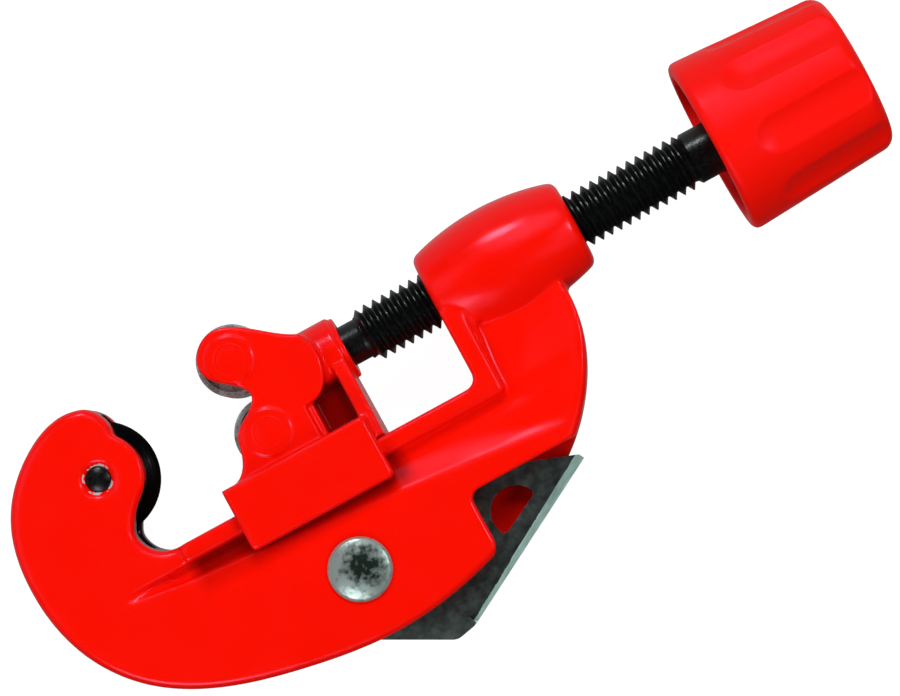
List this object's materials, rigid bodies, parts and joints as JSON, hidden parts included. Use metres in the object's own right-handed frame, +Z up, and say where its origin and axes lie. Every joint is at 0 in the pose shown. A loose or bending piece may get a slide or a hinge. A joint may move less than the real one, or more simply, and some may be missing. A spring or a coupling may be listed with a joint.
{
  "type": "pipe cutter",
  "caption": "Screw-fed tube cutter: a C-shaped cast frame with a cutting wheel, a sliding roller carriage, a feed screw with a fluted knob, and a folding sheet-metal reamer.",
  "frame": {"origin": "the axis of the 15 mm tube that the jaws are set for, on the mid-plane of the frame", "axes": "+X along the feed screw towards the knob, +Y out of the open throat, +Z up, square to the flat sides, with the tool lying on its side"},
  "size_m": [0.1651, 0.0683, 0.0316],
  "materials": {
    "red_paint": "gloss enamel over a zinc die casting",
    "red_plastic": "moulded, semi-gloss",
    "black_oxide_steel": "black oxide, oiled",
    "bright_steel": "turned and plated",
    "plated_sheet": "folded sheet, dull zinc plate",
    "spring_steel": "oiled spring steel"
  },
  "bodies": {
    "frame": {"frame": "red_paint", "wheel_axle": "black_oxide_steel", "wheel_axle_clip": "spring_steel", "reamer_rivet": "bright_steel", "reamer_spacer": "spring_steel", "reamer_spring_washer": "spring_steel"},
    "cutter_wheel": {"cutter_wheel": "black_oxide_steel"},
    "slide": {"slide": "red_paint", "upper_roller_pin": "red_paint", "lower_roller_pin": "red_paint", "screw_retaining_pin": "spring_steel"},
    "upper_roller": {"upper_roller": "bright_steel"},
    "lower_roller": {"lower_roller": "bright_steel"},
    "feed_screw": {"feed_screw": "black_oxide_steel", "knob": "red_plastic", "knob_pin": "spring_steel"},
    "reamer": {"reamer": "plated_sheet"}
  },
  "joints": [
    {"name": "slide_travel", "type": "slide", "parent": "frame", "child": "slide", "axis": [1, 0, 0], "range_m": [-0.0144, 0.0157]},
    {"name": "screw_turn", "type": "hinge", "parent": "slide", "child": "feed_screw", "pos_m": [0.05, 0, 0], "axis": [1, 0, 0], "range_deg": [-3000, 3300]},
    {"name": "wheel_spin", "type": "hinge", "parent": "frame", "child": "cutter_wheel", "pos_m": [-0.0174, 0, 0], "axis": [0, 0, 1], "continuous": true},
    {"name": "upper_roller_spin", "type": "hinge", "parent": "slide", "child": "upper_roller", "pos_m": [0.01184, 0.0069, 0], "axis": [0, 0, 1], "continuous": true},
    {"name": "lower_roller_spin", "type": "hinge", "parent": "slide", "child": "lower_roller", "pos_m": [0.01184, -0.0069, 0], "axis": [0, 0, 1], "continuous": true},
    {"name": "reamer_swing", "type": "hinge", "parent": "frame", "child": "reamer", "pos_m": [0.0144, -0.0344, 0], "axis": [0, 0, 1], "range_deg": [-85, 0]}
  ],
  "couplings": [
    {"joint": "screw_turn", "follows": "slide_travel", "rad_per_m": 3590.4}
  ]
}
